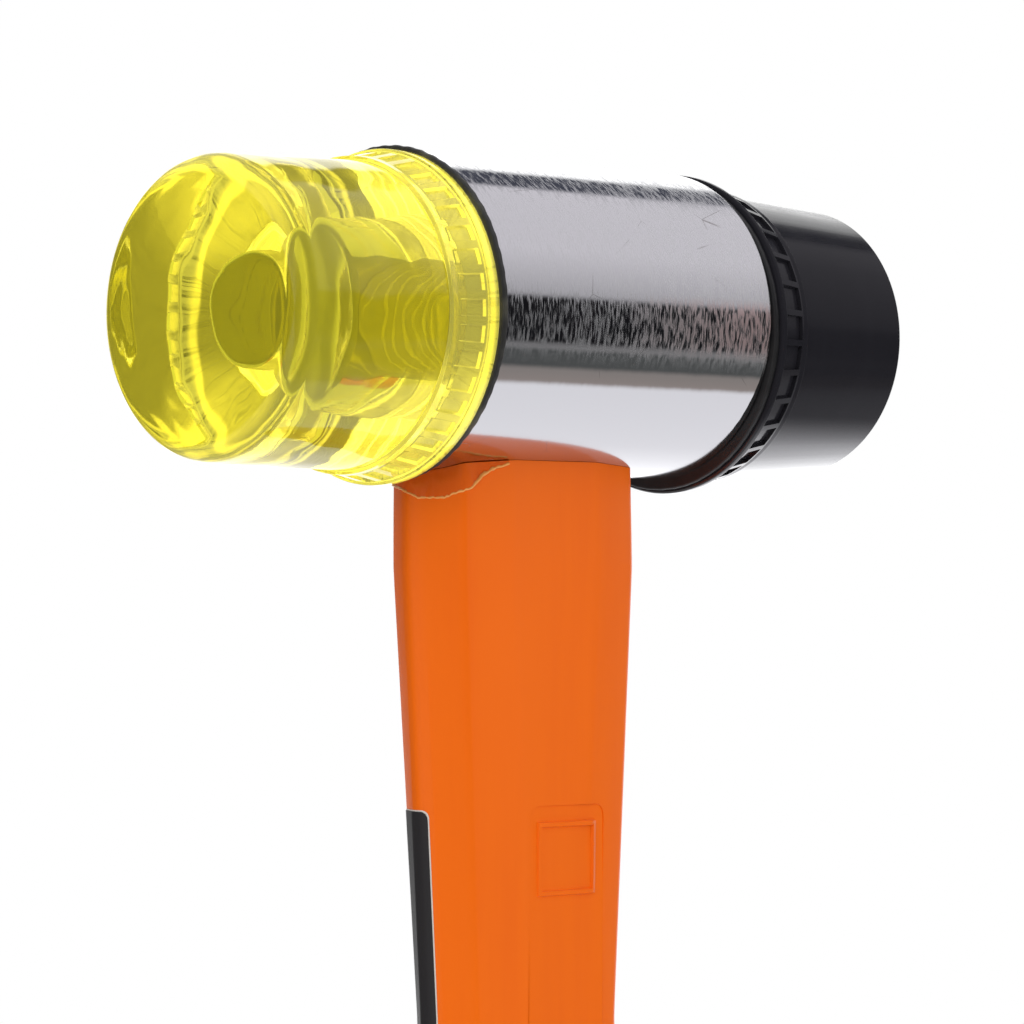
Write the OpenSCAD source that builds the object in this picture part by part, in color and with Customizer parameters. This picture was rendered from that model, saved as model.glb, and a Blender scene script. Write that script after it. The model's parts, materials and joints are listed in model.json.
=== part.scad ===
// Soft face hammer: a chromed steel head on a faceted handle, with one clear
// yellow and one black striking face, each screwed into its end of the head.
// Millimetres. The handle stands on its butt along +Z, the head lies along X.

/* [Head] */
// Height of the head's axis above the butt
axis_h = 282.9; // [240:0.1:320]
// Outside diameter of the head
head_d = 36.4; // [32:0.2:40]
// Length of the steel head between the two seat rings
head_l = 44.7; // [40:0.1:60]
// How far the head's middle lies from the handle's axis, towards the black face
head_shift = 2.45; // [-3:0.05:3]
// Chamfer at the head's two outer edges
head_edge = 0.5; // [0.2:0.1:1]
// Diameter of the screwed socket in each end of the head
socket_d = 23; // [20:0.5:26]
// Depth of each screwed socket
socket_depth = 11; // [8:0.5:11.5]
// How far the screwed sockets and their faces lie below the head's axis
socket_drop = 0.9; // [0:0.1:1.5]
// How far the handle's socket rises above the head's axis
handle_socket_rise = 9; // [4:0.5:12]

/* [Seat rings] */
// Outside diameter of the dark ring between the yellow face and the head
yellow_ring_d = 39; // [36:0.2:42]
// Outside diameter of the dark ring between the black face and the head
black_ring_d = 37.4; // [36:0.2:42]
// Thickness of each seat ring
ring_t = 0.8; // [0.6:0.1:2]

/* [Screwed spigots] */
// Length of each face's spigot beyond its seat ring
spigot_l = 9.6; // [6:0.2:11]
// Radial clearance between a spigot and its socket or ring
spigot_clear = 0.2; // [0.1:0.05:0.4]
// Lead-in chamfer at the spigot's end
spigot_lead = 0.8; // [0.4:0.1:1.5]
// Diameter of the cored hole at the spigot's end
core_mouth_d = 13.6; // [11:0.2:15]
// Diameter of the cored hole at its blind end
core_end_d = 12.4; // [9:0.2:13]
// Fillet round the cored hole's blind end
core_fillet = 0.8; // [0.3:0.1:2]

/* [Yellow face] */
// How far the yellow face stands out of its seat ring
yellow_reach = 27.5; // [22:0.1:34]
// Solid thickness in front of the yellow face's cored hole
yellow_front_wall = 13.6; // [8:0.2:16]
// Diameter of the yellow body at the striking end
yellow_front_d = 33.6; // [30:0.2:35]
// Diameter of the yellow body where it meets its skirt
yellow_root_d = 34.6; // [32:0.2:36]
// Rounding of the yellow striking edge
yellow_edge_r = 2.5; // [0.5:0.1:4]
// Diameter of the plain rim at the back of the yellow skirt
yellow_rim_d = 37.8; // [36.8:0.2:40]
// Axial length of the yellow rim
yellow_rim_t = 1.5; // [0.5:0.1:2]
// Axial length of the ribbed band of the yellow skirt
yellow_band_l = 3.9; // [3:0.1:6]
// Diameter of the yellow ribbed band beside the rim
yellow_band_d = 37.2; // [36:0.1:38]
// Number of pockets round the yellow skirt
yellow_pockets = 40; // [24:2:44]
// Width of one yellow pocket round the skirt
yellow_pocket_w = 1.8; // [0.8:0.1:2.2]

/* [Black face] */
// How far the black face stands out of its seat ring
black_reach = 24.9; // [22:0.1:34]
// Solid thickness in front of the black face's cored hole
black_front_wall = 12; // [8:0.2:16]
// Diameter of the black body at the striking end
black_front_d = 32.2; // [30:0.2:34]
// Diameter of the black body where it meets its skirt
black_root_d = 34.4; // [31:0.2:35]
// Rounding of the black striking edge
black_edge_r = 0.5; // [0.3:0.1:4]
// Diameter of the plain rim at the back of the black skirt
black_rim_d = 38.6; // [37.8:0.2:40]
// Axial length of the black rim
black_rim_t = 0.9; // [0.5:0.1:2]
// Axial length of the ribbed band of the black skirt
black_band_l = 4.4; // [2.6:0.1:6]
// Diameter of the black ribbed band beside the rim
black_band_d = 37.4; // [36:0.1:37.8]
// Number of pockets round the black skirt
black_pockets = 32; // [24:2:36]
// Width of one black pocket round the skirt
black_pocket_w = 2.8; // [1:0.1:2.9]

/* [Skirts] */
// Rounding of the rims' outer corners
rim_round = 0.3; // [0.1:0.05:0.4]
// Width of the bead between a ribbed band and the body
bead_w = 0.8; // [0.4:0.1:1.2]
// How far that bead stands above the body
bead_h = 0.5; // [0.2:0.05:0.6]
// Depth of a skirt pocket below the ribbed band
pocket_depth = 0.45; // [0.2:0.05:0.7]
// Plain margin between a pocket and the edges of its band
pocket_margin = 0.35; // [0.2:0.05:0.6]

/* [Handle jacket] */
// Width of the jacket where it meets the head
neck_w = 33; // [30:0.2:36]
// Thickness of the jacket where it meets the head
neck_t = 13.8; // [12:0.2:16]
// Drop from the head's underside to the jacket's widest place
bulge_drop = 11; // [6:0.1:16]
// Width of the jacket at its widest place
bulge_w = 33.8; // [30:0.2:38]
// Thickness of the jacket at its widest place
bulge_t = 14; // [12:0.2:17]
// Drop from the head's underside to the end of the straight taper
waist_drop = 62.3; // [40:0.1:90]
// Width of the jacket at the end of the straight taper
waist_w = 28.6; // [24:0.2:32]
// Thickness of the jacket at the end of the straight taper
waist_t = 12; // [11:0.2:14]
// Width of the jacket where it enters the grip
shank_w = 27; // [24:0.2:30]
// Thickness of the jacket where it enters the grip
shank_t = 11.6; // [10.6:0.2:13]
// Width of the jacket's tang inside the grip
tang_w = 24; // [20:0.2:26]
// Thickness of the jacket's tang inside the grip
tang_t = 10; // [9:0.2:11]
// Height of the tang's lower end above the butt
tang_end = 30; // [25:1:45]
// Inset of the flat side's edge from the full width
flat_inset = 10; // [6:0.2:11]
// Inset of the shoulder crease from the full width
shoulder_inset = 3; // [2:0.1:4]
// Drop of the shoulder crease from the flat side
shoulder_drop = 1.2; // [0.6:0.1:2]
// Inset of the nose's edges from the full width
nose_inset = 0.7; // [0.3:0.1:1.2]
// Width of the nose's flat
nose_flat = 3.4; // [2:0.1:5]

/* [Fibreglass core] */
// Width of the core along the head
core_rod_w = 15; // [12:0.2:16]
// Thickness of the core across the head
core_rod_t = 7; // [6:0.1:8]
// Thickness of the epoxy between the core and the head
bond_t = 0.4; // [0.2:0.1:0.8]
// Jacket left below the core's lower end
core_floor = 4; // [2:0.5:10]
// Bedding gap between the jacket's saddle and the head
bed_gap = 0.1; // [0.05:0.05:0.3]

/* [Rubber grip] */
// Height of the grip
grip_l = 118; // [100:1:140]
// Width of the grip at its collar
collar_w = 29.4; // [28.6:0.2:34]
// Thickness of the grip at its collar
collar_t = 15; // [14:0.2:20]
// Height of the finger hollow below the collar
finger_h = 96; // [85:1:108]
// Width of the grip at the finger hollow
finger_w = 30; // [28:0.2:36]
// Thickness of the grip at the finger hollow
finger_t = 19; // [16:0.2:24]
// Height of the palm swell
palm_h = 58; // [45:1:75]
// Width of the grip at the palm swell
palm_w = 34; // [30:0.2:40]
// Thickness of the grip at the palm swell
palm_t = 23; // [18:0.2:28]
// Height of the narrow place above the flared butt
heel_h = 22; // [14:1:35]
// Width of the grip at the narrow place above the butt
heel_w = 31; // [28:0.2:38]
// Thickness of the grip at the narrow place above the butt
heel_t = 21; // [16:0.2:26]
// Width of the flared butt
butt_w = 35; // [30:0.2:42]
// Thickness of the flared butt
butt_t = 24; // [18:0.2:30]
// Rounding of the butt's lower edge
butt_round = 2.5; // [1:0.1:4]
// Number of grooves across each wide side of the grip
groove_count = 9; // [3:1:12]
// Distance between two grooves
groove_pitch = 6.5; // [5:0.1:7]
// Depth of a groove at the middle of the grip
groove_depth = 0.9; // [0.4:0.1:1.5]
// Radius of the groove's round bottom
groove_r = 2; // [1:0.1:2.4]

/* [Hanging hole] */
// Diameter of the hanging hole through the grip
hang_d = 7; // [4:0.5:9]
// Height of the hanging hole above the butt
hang_h = 14; // [10:0.5:18]

/* [Hidden] */
$fn = 96;

head_r = head_d / 2;
underside_h = axis_h - head_r;
spigot_r = socket_d / 2 - spigot_clear;
grip_sides = 40;
cut_over = 1;

// One face's sizes in the order that face_solid and face_profile read them
function face_sizes(reach, wall, front_d, root_d, edge, rim_d, rim_t, band_l, band_d, pockets, pocket_w) =
    [reach, wall, front_d / 2, root_d / 2, edge, rim_d / 2, rim_t, band_l, band_d / 2, pockets, pocket_w];
yellow_sizes = face_sizes(
    yellow_reach, yellow_front_wall, yellow_front_d, yellow_root_d, yellow_edge_r,
    yellow_rim_d, yellow_rim_t, yellow_band_l, yellow_band_d, yellow_pockets, yellow_pocket_w);
black_sizes = face_sizes(
    black_reach, black_front_wall, black_front_d, black_root_d, black_edge_r,
    black_rim_d, black_rim_t, black_band_l, black_band_d, black_pockets, black_pocket_w);

function mix(a, b, u) = a + (b - a) * u;
function ease(u) = u * u * (3 - 2 * u);
function arc_points(cx, cy, r, from, to, steps) =
    [for (i = [0:steps]) let (a = mix(from, to, i / steps)) [cx + r * cos(a), cy + r * sin(a)]];

// Closed solid through a stack of rings that hold equally many points
module loft(rings) {
    sides = len(rings[0]);
    last = len(rings) - 1;
    points = [for (ring = rings) each ring];
    walls = [
        for (k = [0:last - 1]) for (i = [0:sides - 1])
            let (a = k * sides + i, b = k * sides + (i + 1) % sides)
                each [[a, a + sides, b], [b, a + sides, b + sides]]
    ];
    bottom = [for (i = [1:sides - 2]) [0, i, i + 1]];
    top = [for (i = [1:sides - 2]) [last * sides, last * sides + i + 1, last * sides + i]];
    polyhedron(points, concat(walls, bottom, top), convexity = 4);
}

// Flat-sided section of the jacket: flats, sloping shoulders, facets and a blunt nose
function jacket_ring(h, w, t) =
    let (
        quarter = [
            [w / 2, 0],
            [w / 2 - nose_inset, nose_flat / 2],
            [w / 2 - shoulder_inset, t / 2 - shoulder_drop],
            [w / 2 - flat_inset, t / 2]
        ],
        upper = concat(quarter, [for (i = [3:-1:1]) [-quarter[i][0], quarter[i][1]]]),
        lower = [for (p = upper) -p]
    ) [for (p = concat(upper, lower)) [p[0], p[1], h]];

// Oval section of the rubber grip, fuller than an ellipse
function grip_ring(h, w, t) = [
    for (i = [0:grip_sides - 1])
        let (a = 360 * i / grip_sides, c = cos(a), s = sin(a))
            [w / 2 * sign(c) * pow(abs(c), 0.8), t / 2 * sign(s) * pow(abs(s), 0.8), h]
];

// Outline of one face from the blind end of its cored hole round to its striking face
function face_profile(z) =
    let (
        reach = z[0], wall = z[1], front_r = z[2], root_r = z[3], edge = z[4],
        rim_r = z[5], rim_t = z[6], band_l = z[7], band_r = z[8],
        core_top = reach - wall,
        bead_at = rim_t + band_l
    ) concat(
        [[0, core_top]],
        arc_points(core_end_d / 2 - core_fillet, core_top - core_fillet, core_fillet, 90, 0, 6),
        [
            [core_mouth_d / 2, -ring_t - spigot_l],
            [spigot_r - spigot_lead, -ring_t - spigot_l],
            [spigot_r, -ring_t - spigot_l + spigot_lead],
            [spigot_r, 0]
        ],
        arc_points(rim_r - rim_round, rim_round, rim_round, -90, 0, 4),
        [[rim_r, rim_t], [band_r, rim_t], [root_r + bead_h, bead_at], [root_r + bead_h, bead_at + bead_w]],
        [[root_r, bead_at + bead_w]],
        arc_points(front_r - edge, reach - edge, edge, 0, 90, 8),
        [[0, reach]]
    );

// One striking face along +Z, its back on the seat ring at height 0
module face_solid(z) {
    rim_t = z[6];
    band_l = z[7];
    band_r = z[8];
    band_end_r = z[3] + bead_h;
    pocket_w = z[10];
    lean = atan2(band_r - band_end_r, band_l);
    pocket_l = band_l / cos(lean) - 2 * pocket_margin;
    difference() {
        rotate_extrude() polygon(face_profile(z));
        for (i = [0:z[9] - 1])
            rotate([0, 0, 360 * i / z[9]])
                translate([(band_r + band_end_r) / 2, 0, rim_t + band_l / 2])
                    rotate([0, -lean, 0])
                        translate([-pocket_depth, -pocket_w / 2, -pocket_l / 2])
                            cube([pocket_depth + cut_over, pocket_w, pocket_l]);
    }
}

// Puts a shape that points along +Z on the socket's axis at the yellow (-1) or black (+1) end
module at_head_end(side) {
    translate([head_shift + side * head_l / 2, 0, axis_h - socket_drop]) rotate([0, side * 90, 0]) children();
}

module seat_ring(d) {
    difference() {
        cylinder(d = d, h = ring_t);
        translate([0, 0, -cut_over]) cylinder(r = socket_d / 2, h = ring_t + 2 * cut_over);
    }
}

// Flat bar with round ends that stands on height 0
module round_bar(w, t, h) {
    linear_extrude(h) {
        square([w - t, t], center = true);
        for (side = [-1, 1]) translate([side * (w - t) / 2, 0]) circle(d = t);
    }
}

// The handle's socket in the head, from below the head to its blind end
module handle_socket() {
    translate([0, 0, underside_h - cut_over])
        round_bar(core_rod_w + 2 * bond_t, core_rod_t + 2 * bond_t, head_r + handle_socket_rise + cut_over);
}

module head_blank() {
    half = head_l / 2;
    translate([head_shift, 0, axis_h]) rotate([0, 90, 0]) rotate_extrude() polygon([
        [0, -half], [head_r - head_edge, -half], [head_r, head_edge - half],
        [head_r, half - head_edge], [head_r - head_edge, half], [0, half]
    ]);
}

module head_body() {
    color("silver") difference() {
        head_blank();
        for (side = [-1, 1])
            at_head_end(side) translate([0, 0, -socket_depth]) cylinder(d = socket_d, h = socket_depth + cut_over);
        handle_socket();
    }
}

module yellow_seat_ring() {
    color("darkslategray") at_head_end(-1) seat_ring(yellow_ring_d);
}

module black_seat_ring() {
    color("darkslategray") at_head_end(1) seat_ring(black_ring_d);
}

module yellow_face() {
    color("gold", 0.6) at_head_end(-1) translate([0, 0, ring_t]) face_solid(yellow_sizes);
}

module black_face() {
    color("black") at_head_end(1) translate([0, 0, ring_t]) face_solid(black_sizes);
}

module handle_core() {
    foot = tang_end + core_floor;
    color("ivory") translate([0, 0, foot])
        round_bar(core_rod_w, core_rod_t, axis_h + handle_socket_rise - bond_t - foot);
}

module epoxy_bond() {
    color("khaki") difference() {
        intersection() {
            handle_socket();
            head_blank();
        }
        handle_core();
    }
}

// The tang is the jacket's lower end, which the grip is moulded round
module jacket_tang() {
    loft([jacket_ring(tang_end, tang_w, tang_t), jacket_ring(grip_l, tang_w, tang_t)]);
}

module jacket_shank() {
    neck_steps = 6;
    bulge_h = underside_h - bulge_drop;
    waist_h = underside_h - waist_drop;
    neck_rings = [
        for (i = [1:neck_steps])
            let (u = i / neck_steps)
                jacket_ring(mix(bulge_h, axis_h, u), mix(bulge_w, neck_w, ease(u)), mix(bulge_t, neck_t, ease(u)))
    ];
    loft(concat(
        [
            jacket_ring(grip_l, shank_w, shank_t),
            jacket_ring(waist_h, waist_w, waist_t),
            jacket_ring(bulge_h, bulge_w, bulge_t)
        ],
        neck_rings));
}

module handle_jacket() {
    color("darkorange") difference() {
        union() {
            jacket_tang();
            jacket_shank();
        }
        translate([head_shift, 0, axis_h])
            rotate([0, 90, 0]) cylinder(r = head_r + bed_gap, h = head_l, center = true);
        handle_core();
    }
}

// Height, width and thickness of the grip at its named places, from the collar down
grip_stations = [
    [grip_l, collar_w, collar_t], [finger_h, finger_w, finger_t], [palm_h, palm_w, palm_t],
    [heel_h, heel_w, heel_t], [butt_round, butt_w, butt_t]
];

// Station (height, width, thickness) of the grip part of the way up a span between two named places
function grip_station(span, u) =
    let (low = grip_stations[span], high = grip_stations[span - 1], e = ease(u))
        [mix(low[0], high[0], u), mix(low[1], high[1], e), mix(low[2], high[2], e)];

// Thickness of the grip at any height above its rounded lower edge
function grip_thickness(h) =
    let (
        spans = [for (k = [1:len(grip_stations) - 1]) if (h >= grip_stations[k][0]) k],
        low = grip_stations[spans[0]][0],
        high = grip_stations[spans[0] - 1][0]
    ) grip_station(spans[0], (h - low) / (high - low))[2];

module grip_shell() {
    steps = 6;
    foot = [
        for (a = [0, 30, 60])
            let (inset = 2 * butt_round * (1 - sin(a)))
                grip_ring(butt_round * (1 - cos(a)), butt_w - inset, butt_t - inset)
    ];
    body = [
        for (span = [len(grip_stations) - 1:-1:1]) for (i = [0:steps - 1])
            let (s = grip_station(span, i / steps)) grip_ring(s[0], s[1], s[2])
    ];
    loft(concat(foot, body, [grip_ring(grip_l, collar_w, collar_t)]));
}

module grip_groove(h, side) {
    translate([0, side * (grip_thickness(h) / 2 + groove_r - groove_depth), h])
        rotate([0, 90, 0]) cylinder(r = groove_r, h = palm_w, center = true);
}

module grip_sleeve() {
    color("dimgray") difference() {
        grip_shell();
        jacket_tang();
        translate([0, 0, hang_h]) rotate([90, 0, 0]) cylinder(d = hang_d, h = butt_t + palm_t, center = true);
        for (i = [0:groove_count - 1], side = [-1, 1])
            grip_groove(palm_h + (i - (groove_count - 1) / 2) * groove_pitch, side);
    }
}

head_body();
yellow_face();
black_face();
yellow_seat_ring();
black_seat_ring();
handle_core();
epoxy_bond();
handle_jacket();
grip_sleeve();
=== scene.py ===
"""Soft face hammer: fine meshes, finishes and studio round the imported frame.

The chromed head, its two screwed striking faces with their seat rings, the faceted
handle jacket and the rubber grip are modelled here in metres, in the frame's own axes:
+Z runs up the handle and +X along the head, from the yellow face to the black one.
"""

from __future__ import annotations

import json
import logging
import math
from dataclasses import dataclass
from enum import Enum
from functools import cache
from typing import Any, Mapping, Sequence

import bmesh
import bpy
import numpy as np
from mathutils import Matrix, Vector


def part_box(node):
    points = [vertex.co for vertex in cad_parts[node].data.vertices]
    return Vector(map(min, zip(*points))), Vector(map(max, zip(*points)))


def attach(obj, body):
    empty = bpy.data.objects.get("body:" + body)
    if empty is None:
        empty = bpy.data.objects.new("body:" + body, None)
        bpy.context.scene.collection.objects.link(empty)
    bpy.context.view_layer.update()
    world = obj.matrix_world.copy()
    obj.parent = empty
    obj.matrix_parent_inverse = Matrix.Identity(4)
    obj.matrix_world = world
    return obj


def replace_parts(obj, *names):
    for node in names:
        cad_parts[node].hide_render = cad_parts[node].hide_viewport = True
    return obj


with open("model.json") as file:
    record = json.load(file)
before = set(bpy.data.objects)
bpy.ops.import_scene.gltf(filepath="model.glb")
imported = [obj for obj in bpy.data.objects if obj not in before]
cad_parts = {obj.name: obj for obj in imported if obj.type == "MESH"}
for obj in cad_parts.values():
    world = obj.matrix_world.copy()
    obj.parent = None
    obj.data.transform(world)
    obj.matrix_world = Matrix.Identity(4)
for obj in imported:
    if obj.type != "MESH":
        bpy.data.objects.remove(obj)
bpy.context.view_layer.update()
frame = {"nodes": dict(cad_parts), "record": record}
LOG = logging.getLogger("hammer")

Span = tuple[float, float]
Triple = tuple[float, float, float]
Colour = Triple
Grid = list[np.ndarray]

MM = 0.001
TURN = 2 * math.pi
QUARTER = TURN / 4

# How far a cutting shape stands out, how deep trim is let in, and which points count as one
CUT_OVER = 1 * MM
BURY = 0.03 * MM
SAME = 1e-6
WELD = 1e-8

# Points along the round end of a bar
END_POINTS = 13


class Body(Enum):
    """The frame's bodies, by the piece of the hammer that each one carries."""

    HAMMER = "hammer"
    YELLOW_RING = "yellow_ring"
    YELLOW_STRIKER = "yellow_striker"
    BLACK_RING = "black_ring"
    BLACK_STRIKER = "black_striker"


class End(Enum):
    """The head's two ends, by the sign of their outward X axis."""

    YELLOW = -1
    BLACK = 1


class Edge(Enum):
    """How a piece's faces meet under light, as the angle above which an edge stays sharp."""

    SOFT = 60
    CRISP = 32


def mount(name: str) -> Mapping[str, Any]:
    """A mount of the record, by its name."""
    return next(m for m in frame["record"]["mounts"] if m["name"] == name)


# Heights of the sockets' axis and of the head's own axis, and the yellow face's seat in millimetres
AXIS_H = mount("black_striking_face")["pos_m"][2]
HEAD_H = sum(corner.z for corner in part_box("head_body")) / 2
SEAT_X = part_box("yellow_seat_ring")[0].x / MM


# Shader maths


class Wire:
    """A node's output that takes part in arithmetic, adding a Math node for each step."""

    def __init__(self, sheet: Sheet, socket: bpy.types.NodeSocket) -> None:
        """Keep the sheet and the socket that this wire starts from."""
        self.sheet = sheet
        self.socket = socket

    def _math(self, operation: str, first: Wire | float, second: Wire | float) -> Wire:
        """Result of one Math node."""
        return self.sheet.add("ShaderNodeMath", {"operation": operation}, {0: first, 1: second})

    def __add__(self, other: Wire | float) -> Wire:
        """Sum with a wire or number."""
        return self._math("ADD", self, other)

    def __radd__(self, other: float) -> Wire:
        """Sum with a number on the left."""
        return self._math("ADD", other, self)

    def __sub__(self, other: Wire | float) -> Wire:
        """Difference from a wire or number."""
        return self._math("SUBTRACT", self, other)

    def __rsub__(self, other: float) -> Wire:
        """Difference with a number on the left."""
        return self._math("SUBTRACT", other, self)

    def __mul__(self, other: Wire | float) -> Wire:
        """Product with a wire or number."""
        return self._math("MULTIPLY", self, other)

    def __rmul__(self, other: float) -> Wire:
        """Product with a number on the left."""
        return self._math("MULTIPLY", other, self)

    def __pow__(self, power: Wire | float) -> Wire:
        """Power of this wire."""
        return self._math("POWER", self, power)

    def __rpow__(self, base: float) -> Wire:
        """Number to the power of this wire."""
        return self._math("POWER", base, self)

    def ramp(self, low: float, high: float) -> Wire:
        """Smooth step of this wire.

        Args:
            low: The value that becomes 0.
            high: The value that becomes 1.

        Returns:
            The stepped wire.
        """
        settings = {"interpolation_type": "SMOOTHSTEP"}
        inputs = {"Value": self, "From Min": low, "From Max": high}
        return self.sheet.add("ShaderNodeMapRange", settings, inputs)

    def fall(self, low: float, high: float) -> Wire:
        """Smooth step down, from 1 at the low value to 0 at the high one."""
        return 1.0 - self.ramp(low, high)


@dataclass(frozen=True)
class Pattern:
    """A noise: its cells per millimetre on each axis, its shift in millimetres and its finer layers."""

    cells: Triple
    shift: Triple = (0, 0, 0)
    detail: float = 2.0
    rough: float = 0.5


class Sheet:
    """The node sheet of one material or of the world."""

    def __init__(self, tree: bpy.types.NodeTree) -> None:
        """Empty the tree that is to be filled."""
        self.tree = tree
        tree.nodes.clear()

    def add(
        self, kind: str, settings: Mapping[str, Any] | None = None,
        inputs: Mapping[str | int, Any] | None = None, output: str | int | None = None,
    ) -> Wire:
        """Add any node.

        Args:
            kind: The node's type name.
            settings: Its own settings, with "stops" for a ramp's stops.
            inputs: Values or wires by socket name or number.
            output: Name or number of the output to return; the first live one if None.

        Returns:
            The wire of that output.
        """
        node = self.tree.nodes.new(kind)
        for name, value in (settings or {}).items():
            if name == "stops":
                self._set_stops(node.color_ramp, value)
            else:
                setattr(node, name, value)
        for key, value in (inputs or {}).items():
            socket = node.inputs[key]
            if isinstance(value, Wire):
                self.tree.links.new(value.socket, socket)
            else:
                socket.default_value = value
        live = [s for s in node.outputs if s.enabled]
        socket = node.outputs[output] if output is not None else (live[0] if live else None)
        return Wire(self, socket)

    @staticmethod
    def _set_stops(ramp: bpy.types.ColorRamp, stops: Sequence[tuple[float, Colour]]) -> None:
        """Give a colour ramp its stops.

        Args:
            ramp: The ramp to set.
            stops: Places from 0 to 1 with their colours, at least two.
        """
        while len(ramp.elements) < len(stops):
            ramp.elements.new(1.0)
        for element, (place, colour) in zip(ramp.elements, stops):
            element.position = place
            element.color = (*colour, 1.0)

    def place(self, cells: Triple, shift: Triple) -> Wire:
        """Object place in millimetres, stretched.

        Args:
            cells: Factor on each axis.
            shift: Millimetres added to each axis first.

        Returns:
            The place's wire.
        """
        spot = self.add("ShaderNodeTexCoord", output="Object")
        grown = [c / MM for c in cells]
        moved = [s * c for s, c in zip(shift, cells)]
        return self.vector("MULTIPLY_ADD", spot, grown, moved)

    def from_axis(self, height: float) -> tuple[Wire, Wire, Wire]:
        """Millimetres along, across and above an axis of the head at a height."""
        return self.split(self.place((1, 1, 1), (0, 0, -height / MM)))

    def split(self, vector: Wire) -> tuple[Wire, Wire, Wire]:
        """The three parts of a vector."""
        first = self.add("ShaderNodeSeparateXYZ", None, {0: vector}, "X")
        return first, *(Wire(self, first.socket.node.outputs[axis]) for axis in "YZ")

    def vector(self, operation: str, *inputs: Any) -> Wire:
        """Result of one Vector Math node."""
        return self.add("ShaderNodeVectorMath", {"operation": operation}, dict(enumerate(inputs)))

    def noise(self, pattern: Pattern) -> Wire:
        """Smooth noise.

        Args:
            pattern: The noise's layout.

        Returns:
            A wire from about 0 to 1.
        """
        inputs = {"Vector": self.place(pattern.cells, pattern.shift), "Scale": 1.0,
                  "Detail": pattern.detail, "Roughness": pattern.rough}
        return self.add("ShaderNodeTexNoise", None, inputs, "Fac")

    def mix(self, share: Wire | float, low: Wire | Colour, high: Wire | Colour) -> Wire:
        """Mix of two colours.

        Args:
            share: 0 for the first colour, 1 for the second.
            low: The first colour or its wire.
            high: The second colour or its wire.

        Returns:
            The mixed colour's wire.
        """
        def as_colour(value: Wire | Colour) -> Any:
            """A wire as it is, or a colour with its alpha."""
            return value if isinstance(value, Wire) else (*value, 1.0)

        inputs = {0: share, 6: as_colour(low), 7: as_colour(high)}
        return self.add("ShaderNodeMix", {"data_type": "RGBA"}, inputs, 2)

    def bump(self, height: Wire, strength: float, depth: float) -> Wire:
        """Surface normal from a height, where a height of 1 stands for the depth in metres."""
        inputs = {"Strength": strength, "Distance": depth, "Height": height}
        return self.add("ShaderNodeBump", None, inputs)


# Finishes


@dataclass(frozen=True)
class Finish:
    """A finish of the hammer: what every principled surface states.

    In the finishes below places are in millimetres, and a span is where a mask goes from 0 to 1.
    """

    name: str
    colour: Colour
    roughness: float

    def sockets(self, sheet: Sheet) -> dict[str, Any]:
        """Values and wires of the surface's sockets, by name."""
        return {"Base Color": (*self.colour, 1.0), "Roughness": self.roughness}

    @cache
    def material(self) -> bpy.types.Material:
        """Make the finish as a material, once.

        Returns:
            The new material.
        """
        made = bpy.data.materials.new(self.name)
        made.use_nodes = True
        sheet = Sheet(made.node_tree)
        surface = sheet.add("ShaderNodeBsdfPrincipled", None, self.sockets(sheet))
        sheet.add("ShaderNodeOutputMaterial", None, {"Surface": surface})
        return made


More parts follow.
